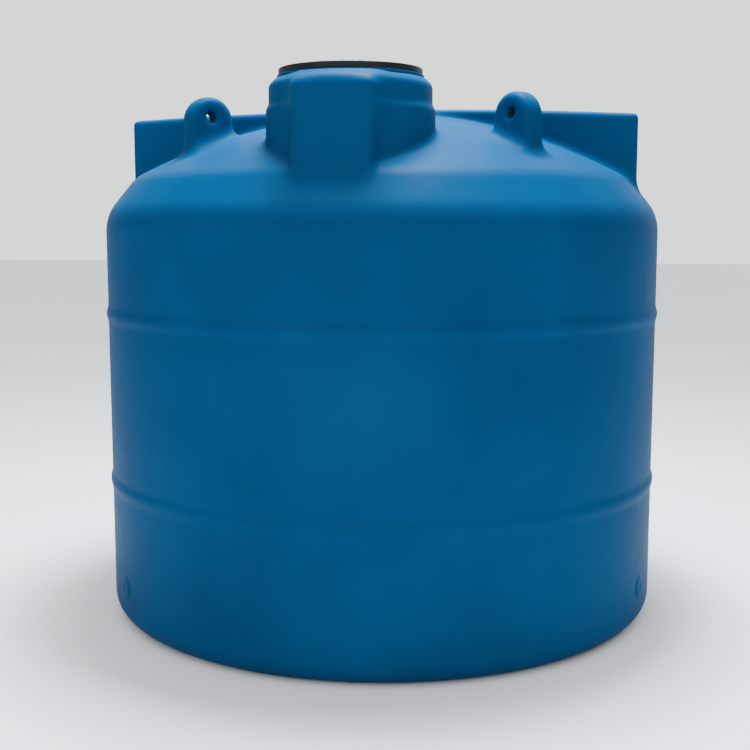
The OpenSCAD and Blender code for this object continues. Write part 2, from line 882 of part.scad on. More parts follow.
tank_floor();
tank_wall_lower();
tank_wall_upper();
tank_shoulder();
tank_dome();
tank_ridge();
tank_neck();
lifting_lugs();
neck_ring();
lid_gasket();
manhole_lid();
lid_skirt();
vent_body();
vent_screen();
vent_cap();
vent_nut();
inlet_bulkhead();
inlet_outer_gasket();
inlet_inner_gasket();
inlet_backnut();
float_valve_body();
float_valve_seat();
float_piston();
piston_washer();
float_pin();
float_arm();
float_ball();
float_ball_nut();
overflow_bulkhead();
overflow_gasket();
overflow_backnut();
overflow_elbow();
overflow_screen();
outlet_bulkhead();
outlet_outer_gasket();
outlet_inner_gasket();
outlet_backnut();
outlet_valve_body();
outlet_valve_end();
outlet_valve_seats();
outlet_valve_ball();
outlet_valve_stem();
stem_packing();
outlet_valve_lever();
lever_nut();
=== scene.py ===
import json
import math

import bmesh
import bpy
import numpy as np
from mathutils import Matrix, Vector


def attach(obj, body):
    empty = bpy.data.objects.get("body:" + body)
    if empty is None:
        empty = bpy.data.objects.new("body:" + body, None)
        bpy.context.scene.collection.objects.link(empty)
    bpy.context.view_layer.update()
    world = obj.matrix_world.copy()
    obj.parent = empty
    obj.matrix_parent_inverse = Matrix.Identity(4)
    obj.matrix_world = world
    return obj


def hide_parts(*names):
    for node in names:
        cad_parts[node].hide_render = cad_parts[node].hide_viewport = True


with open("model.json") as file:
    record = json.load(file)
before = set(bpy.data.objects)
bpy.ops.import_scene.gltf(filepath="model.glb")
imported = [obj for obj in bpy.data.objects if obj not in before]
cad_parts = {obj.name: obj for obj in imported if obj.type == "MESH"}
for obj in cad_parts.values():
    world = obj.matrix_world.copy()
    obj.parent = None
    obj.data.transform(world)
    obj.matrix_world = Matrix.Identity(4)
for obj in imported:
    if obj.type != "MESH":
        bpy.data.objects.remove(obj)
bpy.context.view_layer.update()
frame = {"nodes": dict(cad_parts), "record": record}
print("frame loaded")


def addPiece(name, points, faces):
    mesh = bpy.data.meshes.new(name)
    mesh.from_pydata([tuple(p) for p in points], [], [tuple(f) for f in faces])
    mesh.validate()
    mesh.shade_smooth()
    piece = bpy.data.objects.new(name, mesh)
    bpy.context.scene.collection.objects.link(piece)
    return piece


def keepCreases(piece, degrees=40):
    piece.data.set_sharp_from_angle(angle=math.radians(degrees))


# rounds every corner of a closed outline of (radius, height) points
def softCorners(outline, rounding, cuts=3):
    result = []
    count = len(outline)
    for i, corner in enumerate(outline):
        here = np.array(corner[:2], float)
        before = np.array(outline[i - 1][:2], float) - here
        after = np.array(outline[(i + 1) % count][:2], float) - here
        lengthBefore, lengthAfter = np.linalg.norm(before), np.linalg.norm(after)
        reach = min(rounding, 0.45 * lengthBefore, 0.45 * lengthAfter)
        cosine = float(before @ after) / (lengthBefore * lengthAfter)
        if cosine < -0.985 or reach < 1e-5:
            result.append(tuple(here))
            continue
        start = here + before / lengthBefore * reach
        end = here + after / lengthAfter * reach
        for k in range(cuts + 1):
            t = k / cuts
            result.append(tuple((1 - t) ** 2 * start + 2 * t * (1 - t) * here + t * t * end))
    return result


# joins doubled corners, turns every face outwards and marks the creases
def cleanPiece(piece):
    work = bmesh.new()
    work.from_mesh(piece.data)
    bmesh.ops.remove_doubles(work, verts=work.verts, dist=1e-6)
    bmesh.ops.dissolve_degenerate(work, edges=work.edges, dist=1e-7)
    bmesh.ops.recalc_face_normals(work, faces=work.faces)
    work.to_mesh(piece.data)
    work.free()
    piece.data.shade_smooth()
    keepCreases(piece)
    return piece


# turns a closed outline about an axis; apothem flattens the outside to a hexagon
def turnedPiece(name, outline, place, axis=(0, 0, 1), rounding=0.001, steps=96, apothem=None):
    rows = softCorners(outline, rounding)
    turn = Vector((0, 0, 1)).rotation_difference(Vector(axis)).to_matrix()
    angles = np.arange(steps) * 2 * math.pi / steps
    sector = angles % (math.pi / 3) - math.pi / 6
    points = []
    for radius, height in rows:
        reach = np.full(steps, radius)
        if apothem:
            reach = np.minimum(reach, apothem / np.cos(sector))
        points.append(np.stack([reach * np.cos(angles), reach * np.sin(angles), np.full(steps, height)], 1))
    points = np.concatenate(points) @ np.array(turn).T + np.array(place)
    count = len(rows)
    faces = []
    for i in range(count):
        j = (i + 1) % count
        if rows[i][0] < 1e-6 and rows[j][0] < 1e-6:
            continue
        for k in range(steps):
            m = (k + 1) % steps
            faces.append((i * steps + k, i * steps + m, j * steps + m, j * steps + k))
    return cleanPiece(addPiece(name, points, faces))


def newMaterial(name):
    material = bpy.data.materials.new(name)
    material.use_nodes = True
    nodes = material.node_tree.nodes
    shader = nodes["Principled BSDF"]
    return material, nodes, material.node_tree.links, shader


def addNode(nodes, kind, settings=(), **inputs):
    node = nodes.new(kind)
    for key, value in dict(settings).items():
        setattr(node, key, value)
    for key, value in inputs.items():
        node.inputs[key.replace("_", " ")].default_value = value
    return node


def colourRamp(nodes, stops):
    ramp = nodes.new("ShaderNodeValToRGB")
    elements = ramp.color_ramp.elements
    while len(elements) < len(stops):
        elements.new(0.5)
    for element, (position, colour) in zip(elements, stops):
        element.position = position
        element.color = (*colour, 1) if len(colour) == 3 else colour
    return ramp


polyethylene = {
    "deep": (0.0, 0.036, 0.102),
    "light": (0.0, 0.050, 0.136),
    # a lighter blue, used both for the rain streaks and for painted light on upward faces
    "streaksAndPaintedTopLight": (0.002, 0.080, 0.210),
    "roughness": 0.50,
    "specular": 0.022,
}


def makePolyethylene():
    material, nodes, links, shader = newMaterial("bluePolyethylene")
    place = addNode(nodes, "ShaderNodeTexCoord")
    cloud = addNode(nodes, "ShaderNodeTexNoise", Scale=2.3, Detail=5.0, Roughness=0.55)
    links.new(place.outputs["Object"], cloud.inputs["Vector"])
    tone = colourRamp(nodes, [(0.30, polyethylene["deep"]), (0.72, polyethylene["light"])])
    links.new(cloud.outputs["Fac"], tone.inputs["Fac"])

    # rain streaks run down the wall
    stretch = addNode(nodes, "ShaderNodeMapping", Scale=(9.0, 9.0, 0.55))
    links.new(place.outputs["Object"], stretch.inputs["Vector"])
    streak = addNode(nodes, "ShaderNodeTexNoise", Scale=3.0, Detail=6.0, Roughness=0.62)
    links.new(stretch.outputs["Vector"], streak.inputs["Vector"])
    streakMask = colourRamp(nodes, [(0.55, (0, 0, 0)), (0.85, (0.07, 0.07, 0.07))])
    links.new(streak.outputs["Fac"], streakMask.inputs["Fac"])

    # painted light: faces turned upward are mixed toward a lighter blue as if lit from above, broken up by a
    # fine grain
    facing = addNode(nodes, "ShaderNodeNewGeometry")
    upward = addNode(nodes, "ShaderNodeSeparateXYZ")
    links.new(facing.outputs["Normal"], upward.inputs["Vector"])
    upwardLightMask = addNode(nodes, "ShaderNodeMapRange")
    upwardLightMask.inputs["From Min"].default_value = 0.35
    upwardLightMask.inputs["From Max"].default_value = 1.0
    upwardLightMask.inputs["To Max"].default_value = 0.30
    links.new(upward.outputs["Z"], upwardLightMask.inputs["Value"])
    grain = addNode(nodes, "ShaderNodeTexNoise", Scale=38.0, Detail=6.0, Roughness=0.6)
    links.new(place.outputs["Object"], grain.inputs["Vector"])
    paintedTopLight = addNode(nodes, "ShaderNodeMath", {"operation": "MULTIPLY"})
    links.new(upwardLightMask.outputs["Result"], paintedTopLight.inputs[0])
    links.new(grain.outputs["Fac"], paintedTopLight.inputs[1])
    # the rain streaks and the painted top light share the lighter blue
    streaksAndPaintedTopLight = addNode(nodes, "ShaderNodeMath", {"operation": "MAXIMUM"})
    links.new(paintedTopLight.outputs["Value"], streaksAndPaintedTopLight.inputs[0])
    links.new(streakMask.outputs["Color"], streaksAndPaintedTopLight.inputs[1])
    mix = addNode(nodes, "ShaderNodeMix", {"data_type": "RGBA"})
    links.new(streaksAndPaintedTopLight.outputs["Value"], mix.inputs["Factor"])
    links.new(tone.outputs["Color"], mix.inputs[6])
    mix.inputs[7].default_value = (*polyethylene["streaksAndPaintedTopLight"], 1)
    links.new(mix.outputs[2], shader.inputs["Base Color"])

    # satin gloss that changes a little from place to place
    gloss = addNode(nodes, "ShaderNodeMapRange")
    gloss.inputs["To Min"].default_value = polyethylene["roughness"] - 0.07
    gloss.inputs["To Max"].default_value = polyethylene["roughness"] + 0.10
    links.new(grain.outputs["Fac"], gloss.inputs["Value"])
    links.new(gloss.outputs["Result"], shader.inputs["Roughness"])
    shader.inputs["Specular IOR Level"].default_value = polyethylene["specular"]

    # slow mould waves, then the fine orange peel of the skin
    wave = addNode(nodes, "ShaderNodeTexNoise", Scale=7.0, Detail=2.0)
    links.new(place.outputs["Object"], wave.inputs["Vector"])
    peel = addNode(nodes, "ShaderNodeTexNoise", Scale=420.0, Detail=2.0)
    links.new(place.outputs["Object"], peel.inputs["Vector"])
    waveBump = addNode(nodes, "ShaderNodeBump", Strength=0.35, Distance=0.004)
    links.new(wave.outputs["Fac"], waveBump.inputs["Height"])
    peelBump = addNode(nodes, "ShaderNodeBump", Strength=0.22, Distance=0.0004)
    links.new(peel.outputs["Fac"], peelBump.inputs["Height"])
    links.new(waveBump.outputs["Normal"], peelBump.inputs["Normal"])
    links.new(peelBump.outputs["Normal"], shader.inputs["Normal"])
    return material


# a moulded or cast finish: two tones, a gloss that varies and a fine grain
def makeFinish(name, dark, light, roughness, metallic=0.0, grainScale=120.0, grainDepth=0.0003,
               specular=0.5, brushed=None, patchScale=14.0):
    material, nodes, links, shader = newMaterial(name)
    place = addNode(nodes, "ShaderNodeTexCoord")
    patch = addNode(nodes, "ShaderNodeTexNoise", Scale=patchScale, Detail=5.0, Roughness=0.6)
    links.new(place.outputs["Object"], patch.inputs["Vector"])
    tone = colourRamp(nodes, [(0.32, dark), (0.70, light)])
    links.new(patch.outputs["Fac"], tone.inputs["Fac"])
    links.new(tone.outputs["Color"], shader.inputs["Base Color"])
    grain = addNode(nodes, "ShaderNodeTexNoise", Scale=grainScale, Detail=4.0, Roughness=0.6)
    if brushed:
        stretch = addNode(nodes, "ShaderNodeMapping", Scale=brushed)
        links.new(place.outputs["Object"], stretch.inputs["Vector"])
        links.new(stretch.outputs["Vector"], grain.inputs["Vector"])
    else:
        links.new(place.outputs["Object"], grain.inputs["Vector"])
    gloss = addNode(nodes, "ShaderNodeMapRange")
    gloss.inputs["To Min"].default_value = max(roughness - 0.09, 0.05)
    gloss.inputs["To Max"].default_value = roughness + 0.09
    links.new(grain.outputs["Fac"], gloss.inputs["Value"])
    links.new(gloss.outputs["Result"], shader.inputs["Roughness"])
    shader.inputs["Metallic"].default_value = metallic
    shader.inputs["Specular IOR Level"].default_value = specular
    bump = addNode(nodes, "ShaderNodeBump", Strength=0.5, Distance=grainDepth)
    links.new(grain.outputs["Fac"], bump.inputs["Height"])
    links.new(bump.outputs["Normal"], shader.inputs["Normal"])
    return material


finishes = {
    "blue_polyethylene": makePolyethylene(),
    "black_polypropylene": makeFinish("blackPolypropylene", (0.005, 0.006, 0.007), (0.010, 0.012, 0.013), 0.50,
                                      grainScale=260.0, grainDepth=0.0002, specular=0.22),
    "grey_polypropylene": makeFinish("greyPolypropylene", (0.035, 0.038, 0.042), (0.055, 0.058, 0.062), 0.48,
                                     grainScale=220.0),
    "white_nylon": makeFinish("whiteNylon", (0.62, 0.60, 0.54), (0.74, 0.72, 0.66), 0.45),
    "brass": makeFinish("brass", (0.40, 0.25, 0.08), (0.62, 0.43, 0.17), 0.34, metallic=1.0, grainScale=90.0),
    "stainless": makeFinish("stainless", (0.42, 0.43, 0.44), (0.58, 0.59, 0.60), 0.28, metallic=1.0,
                            grainScale=60.0, brushed=(1.0, 1.0, 14.0), grainDepth=0.0001),
    "rubber": makeFinish("rubber", (0.014, 0.014, 0.015), (0.028, 0.028, 0.029), 0.72, specular=0.3),
    "float_orange": makeFinish("floatOrange", (0.62, 0.12, 0.01), (0.78, 0.19, 0.02), 0.36),
    "lever_red": makeFinish("leverRed", (0.36, 0.012, 0.010), (0.50, 0.024, 0.018), 0.40, grainScale=180.0),
}
slotOf = {entry["node"]: entry["material_slot"] for entry in frame["record"]["subparts"]}
for nodeName, nodeObject in frame["nodes"].items():
    nodeObject.data.materials.clear()
    nodeObject.data.materials.append(finishes[slotOf[nodeName]])
    keepCreases(nodeObject, 35)


def finishPiece(piece, slotName, body, *nodes):
    piece.data.materials.clear()
    piece.data.materials.append(finishes[slotName])
    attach(piece, body)
    if nodes:
        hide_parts(*nodes)
    return piece


print("materials made")

# the one-piece moulding, drawn as a distance function and netted
tank = {
    "wallRadius": 0.775,
    "wallTop": 1.066,
    "footRadius": 0.060,
    "shoulderRadius": 0.124,
    "shoulderAngle": 39.0,
    "blendRadius": 0.100,
    "domeRadius": 1.450,
    "domeTop": 1.388,
    "ribHeights": (0.381, 0.843),
    "ribHalf": 0.018,
    "ribOut": 0.005,
    "ribFillet": 0.004,
    "wall": 0.008,
    "step": 0.007,
}
ridge = {"half": 0.712, "halfThick": 0.095, "endTop": 1.381, "crown": 0.020, "edge": 0.014, "fillet": 0.020}
neck = {"back": -0.452, "radius": 0.203, "stepOut": 0.007, "stepAt": 1.372, "stepHalf": 0.009,
        "chamferAt": 1.424, "top": 1.441, "mouth": 0.1693, "edge": 0.006, "fillet": 0.018}
frontPad = {"half": 0.098, "front": -0.701, "topFront": -0.674, "toe": 1.190, "top": 1.422,
            "edge": 0.018, "fillet": 0.050}
lug = {"azimuths": (-50.3, 50.3, 129.7, 230.3), "at": 0.528, "half": 0.062, "top": 1.417,
       "halfThick": 0.032, "eye": 0.014, "eyeDrop": 0.053, "edge": 0.020, "fillet": 0.040}
# every fitting's boss as (radius, angle from the rear, height), with its hole's radius
fittingBosses = {"places": ((0.070, 0.0, 0.115), (0.050, 0.0, 0.985), (0.054, 22.0, 1.012)),
                 "holes": (0.0303, 0.0133, 0.0253), "face": 0.782, "edge": 0.006, "fillet": 0.014}
blankBosses = {"azimuths": (-52.0, 73.0, 128.0, 253.0), "radius": 0.026, "height": 0.120, "face": 0.778,
               "dimple": 0.004, "edge": 0.004, "fillet": 0.008}


def smoothMin(a, b, width):
    near = np.maximum(width - np.abs(a - b), 0) / width
    return np.minimum(a, b) - near * near * width * 0.25


def smoothMax(a, b, width):
    return -smoothMin(-a, -b, width)


# distance to a block given by how far a point is past each of its faces
def roundedBlock(sides, edge):
    inner = [s + edge for s in sides]
    outside = np.sqrt(sum(np.maximum(s, 0) ** 2 for s in inner))
    inside = np.minimum(np.maximum.reduce(inner), 0)
    return outside + inside - edge


def solveDome():
    angle = math.radians(tank["shoulderAngle"])
    outward = np.array([math.cos(angle), math.sin(angle)])
    along = np.array([-math.sin(angle), math.cos(angle)])
    shoulder = np.array([tank["wallRadius"] - tank["shoulderRadius"], tank["wallTop"]])
    domeCentre = np.array([0.0, tank["domeTop"] - tank["domeRadius"]])
    start = shoulder + (tank["shoulderRadius"] - tank["blendRadius"]) * outward - domeCentre
    half = start @ along
    length = math.sqrt(half ** 2 - start @ start + (tank["domeRadius"] - tank["blendRadius"]) ** 2) - half
    blend = start + length * along
    domeAngle = math.atan2(blend[1], blend[0])
    foot = np.array([tank["wallRadius"] - tank["footRadius"], tank["footRadius"]])
    return [(foot, tank["footRadius"], -math.pi / 2, 0.0),
            (shoulder, tank["shoulderRadius"], 0.0, angle),
            (blend + domeCentre, tank["blendRadius"], angle, domeAngle),
            (domeCentre, tank["domeRadius"], domeAngle, math.pi / 2)]


tankArcs = solveDome()


# every arc of a convex outline gives the distance to its own run of tangents
def bodyDistance(radius, height):
    result = None
    for centre, size, low, high in tankArcs:
        u, v = radius - centre[0], height - centre[1]
        angle = np.clip(np.arctan2(v, u), low, high)
        value = u * np.cos(angle) + v * np.sin(angle) - size
        result = value if result is None else np.maximum(result, value)
    ribSize = (tank["ribHalf"] ** 2 + tank["ribOut"] ** 2) / (2 * tank["ribOut"])
    ribAt = tank["wallRadius"] + tank["ribOut"] - ribSize
    for level in tank["ribHeights"]:
        bead = np.hypot(radius - ribAt, height - level) - ribSize
        result = smoothMin(result, bead, tank["ribFillet"])
    return result


def ridgeDistance(x, y, z):
    crown = ridge["endTop"] + ridge["crown"] * (1 - (x / ridge["half"]) ** 2)
    return roundedBlock([np.abs(x) - ridge["half"], np.abs(y) - ridge["halfThick"], z - crown], ridge["edge"])


def neckDistance(x, y, z):
    radius = np.hypot(x, y - neck["back"])
    fall = np.clip((neck["stepAt"] + neck["stepHalf"] - z) / (2 * neck["stepHalf"]), 0, 1)
    wall = radius - neck["radius"] - neck["stepOut"] * fall * fall * (3 - 2 * fall)
    chamfer = (radius - neck["radius"] + z - neck["chamferAt"]) * math.sqrt(0.5)
    upper = smoothMax(wall, chamfer, neck["edge"])
    return smoothMax(upper, z - neck["top"], neck["edge"] * 0.6)


def padDistance(x, y, z):
    lean = np.clip((z - frontPad["toe"]) / (frontPad["top"] - frontPad["toe"]), 0, 1)
    front = frontPad["front"] + (frontPad["topFront"] - frontPad["front"]) * lean
    depth = np.maximum(front - y, y - neck["back"])
    return roundedBlock([np.abs(x) - frontPad["half"], depth, z - frontPad["top"]], frontPad["edge"])


def lugDistance(x, y, z, azimuth):
    angle = math.radians(azimuth)
    radial = x * math.sin(angle) - y * math.cos(angle) - lug["at"]
    side = x * math.cos(angle) + y * math.sin(angle)
    middle = lug["top"] - lug["half"]
    reach = np.hypot(radial, z - middle)
    face = np.where(z > middle, reach, np.abs(radial)) - lug["half"]
    plate = roundedBlock([face, np.abs(side) - lug["halfThick"]], lug["edge"])
    eye = np.hypot(radial, z - lug["top"] + lug["eyeDrop"])
    return smoothMax(plate, lug["eye"] - eye, lug["edge"] * 0.5)


def bossDistance(x, y, z, size, azimuth, level, face, edge, dimple=0.0):
    angle = math.radians(azimuth)
    out = y * math.cos(angle) - x * math.sin(angle)
    side = x * math.cos(angle) + y * math.sin(angle)
    reach = np.hypot(side, z - level)
    dent = dimple * np.clip(1.6 - reach / (0.4 * size), 0, 1)
    return roundedBlock([reach - size, np.maximum(out - face + dent, face - 0.1 - out)], edge)


def tankDistance(x, y, z):
    result = bodyDistance(np.hypot(x, y), z)
    result = smoothMin(result, ridgeDistance(x, y, z), ridge["fillet"])
    upper = smoothMin(neckDistance(x, y, z), padDistance(x, y, z), frontPad["fillet"])
    result = smoothMin(result, upper, neck["fillet"])
    for azimuth in lug["azimuths"]:
        result = smoothMin(result, lugDistance(x, y, z, azimuth), lug["fillet"])
    for size, azimuth, level in fittingBosses["places"]:
        boss = bossDistance(x, y, z, size, azimuth, level, fittingBosses["face"], fittingBosses["edge"])
        result = smoothMin(result, boss, fittingBosses["fillet"])
    for azimuth in blankBosses["azimuths"]:
        boss = bossDistance(x, y, z, blankBosses["radius"], azimuth + 180, blankBosses["height"],
                            blankBosses["face"], blankBosses["edge"], blankBosses["dimple"])
        result = smoothMin(result, boss, blankBosses["fillet"])
    return result


# a net of four-sided faces over the zero level of a distance function
def netOver(distance, low, high, step):
    block = 4
    coarse = step * block
    counts = np.ceil((np.array(high) - np.array(low)) / coarse).astype(int) + 1
    axes = [low[i] + coarse * np.arange(counts[i]) for i in range(3)]
    gx, gy, gz = np.meshgrid(*axes, indexing="ij")
    rough = distance(gx.ravel(), gy.ravel(), gz.ravel()).reshape(counts).astype(np.float32)
    values = rough
    for i in range(3):
        values = np.repeat(values, block, axis=i)
    shape = values.shape
    band = np.nonzero(np.abs(values.ravel()) < coarse * 2.0)[0]
    gi, gj, gk = np.unravel_index(band, shape)
    flat = values.ravel()
    flat[band] = distance(low[0] + step * gi, low[1] + step * gj, low[2] + step * gk)
    values = flat.reshape(shape)
    inside = values < 0

    def corner(a, dx, dy, dz):
        return a[dx:shape[0] - 1 + dx, dy:shape[1] - 1 + dy, dz:shape[2] - 1 + dz]

    offsets = [(a, b, c) for a in (0, 1) for b in (0, 1) for c in (0, 1)]
    someIn = np.zeros([n - 1 for n in shape], bool)
    allIn = np.ones([n - 1 for n in shape], bool)
    for o in offsets:
        someIn |= corner(inside, *o)
        allIn &= corner(inside, *o)
    cells = np.argwhere(someIn & ~allIn)
    number = np.full(someIn.shape, -1, np.int32)
    number[tuple(cells.T)] = np.arange(len(cells))

    total = np.zeros((len(cells), 3))
    hits = np.zeros(len(cells))
    for a in offsets:
        for axis in range(3):
            if a[axis]:
                continue
            b = list(a)
            b[axis] = 1
            va = values[tuple((cells + a).T)]
            vb = values[tuple((cells + b).T)]
            cut = (va < 0) != (vb < 0)
            part = np.where(cut, va / np.where(va == vb, 1, va - vb), 0)
            spot = np.array(a, float)[None, :].repeat(len(cells), 0)
            spot[:, axis] = part
            total[cut] += spot[cut]
            hits[cut] += 1
    points = np.array(low) + step * (cells + total / hits[:, None])

    faces = []
    for axis in range(3):
        u, v = (axis + 1) % 3, (axis + 2) % 3
        here = inside[tuple(slice(0, -1) if i == axis else slice(None) for i in range(3))]
        there = inside[tuple(slice(1, None) if i == axis else slice(None) for i in range(3))]
        for start in (True, False):
            spots = np.argwhere((here != there) & (here == start))
            good = (spots[:, u] > 0) & (spots[:, v] > 0)
            spots = spots[good]
            ring = []
            for du, dv in ((1, 1), (0, 1), (0, 0), (1, 0)):
                cell = spots.copy()
                cell[:, u] -= du
                cell[:, v] -= dv
                ring.append(number[tuple(cell.T)])
            quad = np.stack(ring, 1)
            faces.append(quad if start else quad[:, ::-1])
    return points, np.concatenate(faces)


def slopeOf(distance, points, reach=0.0004):
    x, y, z = points.T
    slope = np.stack([distance(x + reach, y, z) - distance(x - reach, y, z),
                      distance(x, y + reach, z) - distance(x, y - reach, z),
                      distance(x, y, z + reach) - distance(x, y, z - reach)], 1)
    return slope / (2 * reach)


def settleOn(distance, points, rounds=3):
    for _ in range(rounds):
        slope = slopeOf(distance, points)
        value = distance(*points.T)
        points = points - slope * (value / np.maximum((slope ** 2).sum(1), 0.25))[:, None]
    return points


# mouth and fitting holes as (centre, direction out, radius)
def tankHoles():
    holes = [((0.0, neck["back"], neck["top"]), (0.0, 0.0, 1.0), neck["mouth"])]
    for radius, (_, azimuth, level) in zip(fittingBosses["holes"], fittingBosses["places"]):
        angle = math.radians(azimuth)
        out = (-math.sin(angle), math.cos(angle), 0.0)
        face = fittingBosses["face"]
        holes.append(((face * out[0], face * out[1], level), out, radius))
    return holes


# opens a round hole in a flat face and draws its rim onto the true circle
def cutHole(skin, centre, out, radius):
    centre, out = Vector(centre), Vector(out)
    work = bmesh.new()
    work.from_mesh(skin.data)
    inside = []
    for face in work.faces:
        offset = face.calc_center_median() - centre
        depth = offset.dot(out)
        if abs(depth) < 0.006 and (offset - depth * out).length < radius:
            inside.append(face)
    rim = {v for f in inside for v in f.verts if any(g not in inside for g in v.link_faces)}
    bmesh.ops.delete(work, geom=inside, context="FACES")
    for vertex in rim:
        offset = vertex.co - centre
        flat = offset - offset.dot(out) * out
        vertex.co = centre + flat.normalized() * radius
    work.to_mesh(skin.data)
    work.free()


def makeTankSkin():
    low = (-0.806, -0.806, -0.018)
    high = (0.806, 0.806, 1.470)
    points, faces = netOver(tankDistance, low, high, tank["step"])
    points = settleOn(tankDistance, points)
    points[:, 2] = np.maximum(points[:, 2], 0.0)
    skin = addPiece("tankSkin", points, faces)
    for hole in tankHoles():
        cutHole(skin, *hole)
    wall = skin.modifiers.new("wall", "SOLIDIFY")
    wall.thickness = tank["wall"]
    wall.offset = -1
    wall.use_rim = True
    wall.use_even_offset = False
    shell = [n for n in frame["nodes"] if n.startswith("tank_")]
    return finishPiece(skin, "blue_polyethylene", "tank", "lifting_lugs", *shell)


tankSkin = makeTankSkin()
print("tank skin made:", len(tankSkin.data.polygons), "faces")

# the mouth, as heights and radii about the neck's own axis
mouth = {"back": -0.452, "ringTop": 1.449, "ringOut": 0.182, "sleeve": 0.169, "bore": 0.158,
         "sleeveLow": 1.385, "flangeLow": 1.441, "thread": 0.0018, "pitch": 0.012}
lid = {"top": 1.478, "under": 1.466, "radius": 0.1785, "rimLow": 1.450, "seat": 1.455,
       "skirtOut": 0.152, "skirtIn": 0.144, "skirtLow": 1.398, "crown": 0.1755, "drop": 0.013,
       "edgeRadius": 0.003, "recess": 0.040, "recessFloor": 1.462, "cupWall": 0.004, "ventHole": 0.013,
       "grips": 8, "gripIn": 0.100, "gripOut": 0.134, "gripHalf": 0.005, "gripRise": 0.0016}
ventCap = {"low": 1.4712, "radius": 0.037, "thick": 0.004, "slope": 0.002, "topRadius": 0.033,
           "boss": 0.016, "bossLow": 1.4662, "hole": 0.0131}


# a rounded tooth every turn of pitch along a straight wall of an outline
def threadTeeth(radius, depth, low, high, pitch):
    count = int((high - low) / pitch)
    teeth = []
    for i in range(count):
        base = low + i * pitch
        teeth += [(radius, base + 0.1 * pitch), (radius + depth, base + 0.4 * pitch),
                  (radius + depth, base + 0.6 * pitch), (radius, base + 0.9 * pitch)]
    return teeth


def makeNeckRing():
    teeth = threadTeeth(mouth["bore"], -mouth["thread"], 1.4010, 1.4370, mouth["pitch"])
    outline = [(mouth["sleeve"], mouth["sleeveLow"]), (mouth["sleeve"], mouth["flangeLow"]),
               (mouth["ringOut"], mouth["flangeLow"]), (mouth["ringOut"], mouth["ringTop"]),
               (mouth["bore"], mouth["ringTop"])] + teeth[::-1] + [(mouth["bore"], mouth["sleeveLow"])]
    ring = turnedPiece("neckCollar", outline, (0, mouth["back"], 0), rounding=0.0022, steps=144)
    finishPiece(ring, "blue_polyethylene", "tank", "neck_ring")


def lidCrown(radius):
    return lid["top"] - lid["drop"] * (radius / lid["crown"]) ** 2


def makeLid():
    centre = lid["top"] - lid["drop"] - lid["edgeRadius"]
    cupLow, cupOut = lid["recessFloor"] - lid["cupWall"], lid["recess"] + lid["cupWall"]
    outline = [(lid["ventHole"], cupLow), (cupOut, cupLow), (cupOut, lid["under"]),
               (lid["skirtIn"], lid["under"]), (lid["skirtIn"], lid["skirtLow"]),
               (lid["skirtOut"], lid["skirtLow"])]
    outline += threadTeeth(lid["skirtOut"], mouth["thread"], 1.4020, 1.4500, mouth["pitch"])
    outline += [(lid["skirtOut"], lid["seat"]), (lid["radius"] - 0.006, lid["seat"]),
                (lid["radius"] - 0.006, lid["rimLow"]), (lid["radius"], lid["rimLow"])]
    for k in range(5):
        angle = math.pi / 2 * k / 4
        outline.append((lid["crown"] + lid["edgeRadius"] * math.cos(angle),
                        centre + lid["edgeRadius"] * math.sin(angle)))
    for radius in (0.150, 0.120, 0.090, 0.065, lid["recess"]):
        outline.append((radius, lidCrown(radius)))
    outline += [(lid["recess"], lid["recessFloor"]), (lid["ventHole"], lid["recessFloor"])]
    cap = turnedPiece("lidCap", outline, (0, mouth["back"], 0), rounding=0.0018, steps=160)
    finishPiece(cap, "black_polypropylene", "lid", "manhole_lid", "lid_skirt")

    # low radial grips that follow the slope of the crown
    middle = (lid["gripIn"] + lid["gripOut"]) / 2
    top = lidCrown(middle) + lid["gripRise"]
    slope = math.atan(2 * lid["drop"] * middle / lid["crown"] ** 2)
    work = bmesh.new()
    for i in range(lid["grips"]):
        angle = (i + 0.5) * 2 * math.pi / lid["grips"]
        size = (lid["gripOut"] - lid["gripIn"], 2 * lid["gripHalf"], 0.008)
        turn = Matrix.Rotation(angle, 4, "Z") @ Matrix.Translation((middle, 0, top - size[2] / 2))
        turn = Matrix.Translation((0, mouth["back"], 0)) @ turn @ Matrix.Rotation(slope, 4, "Y")
        bmesh.ops.create_cube(work, size=1, matrix=turn @ Matrix.Diagonal((*size, 1)))
    mesh = bpy.data.meshes.new("lidGrips")
    work.to_mesh(mesh)
    work.free()
    grips = bpy.data.objects.new("lidGrips", mesh)
    bpy.context.scene.collection.objects.link(grips)
    rounding = grips.modifiers.new("rounding", "BEVEL")
    rounding.width = 0.0022
    rounding.segments = 4
    mesh.shade_smooth()
    finishPiece(grips, "black_polypropylene", "lid", "manhole_lid")


# the rain cap stands over the vent in the lid's recess, with a shallow dished top
def makeVentCap():
    low, high = ventCap["low"], ventCap["low"] + ventCap["thick"]
    top = high + ventCap["slope"]
    outline = [(0.0, low + 0.0008), (ventCap["hole"], low + 0.0008), (ventCap["hole"], ventCap["bossLow"]),
               (ventCap["boss"], ventCap["bossLow"]), (ventCap["boss"], low), (ventCap["radius"], low),
               (ventCap["radius"], high), (ventCap["topRadius"], top), (0.024, top),
               (0.022, top - 0.001), (0.0, top - 0.001)]
    cap = turnedPiece("ventRainCap", outline, (0, mouth["back"], 0), rounding=0.0012, steps=96)
    finishPiece(cap, "black_polypropylene", "lid", "vent_cap")


makeNeckRing()
makeLid()
makeVentCap()
print("lid made")

